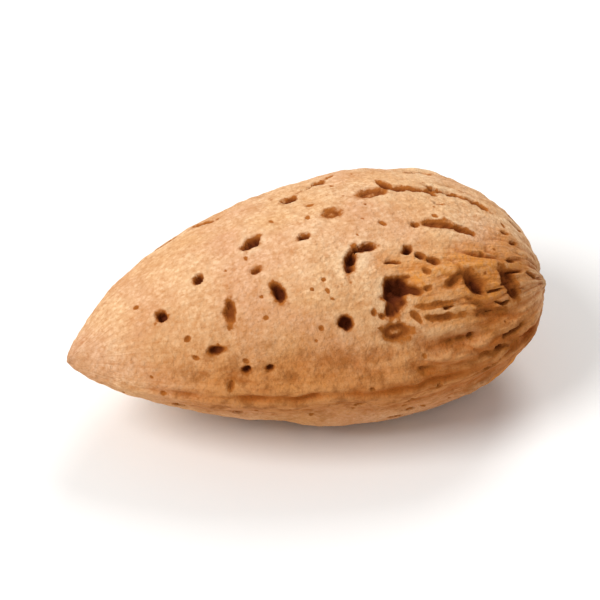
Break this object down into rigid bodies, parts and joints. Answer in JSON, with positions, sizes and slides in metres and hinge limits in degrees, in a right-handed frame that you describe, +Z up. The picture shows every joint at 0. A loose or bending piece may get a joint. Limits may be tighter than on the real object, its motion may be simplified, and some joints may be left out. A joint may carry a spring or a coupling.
{
  "type": "almond in shell",
  "caption": "Whole almond in its closed, pitted tan shell: flattened drop form with a pointed tip, a keeled seam and furrows at the stem end, lying on one broad face.",
  "frame": {"origin": "on the surface that the nut lies on, under the middle of its box", "axes": "+X from the pointed tip to the stem end, +Y from the keeled seam to the rounded back, +Z up through the two broad faces"},
  "size_m": [0.0346, 0.0218, 0.0148],
  "materials": {
    "shell": "dry matt woody nut shell, tan, with dark brown pits and orange-brown fibre furrows"
  },
  "bodies": {
    "root": {"almond": "shell"}
  },
  "joints": []
}
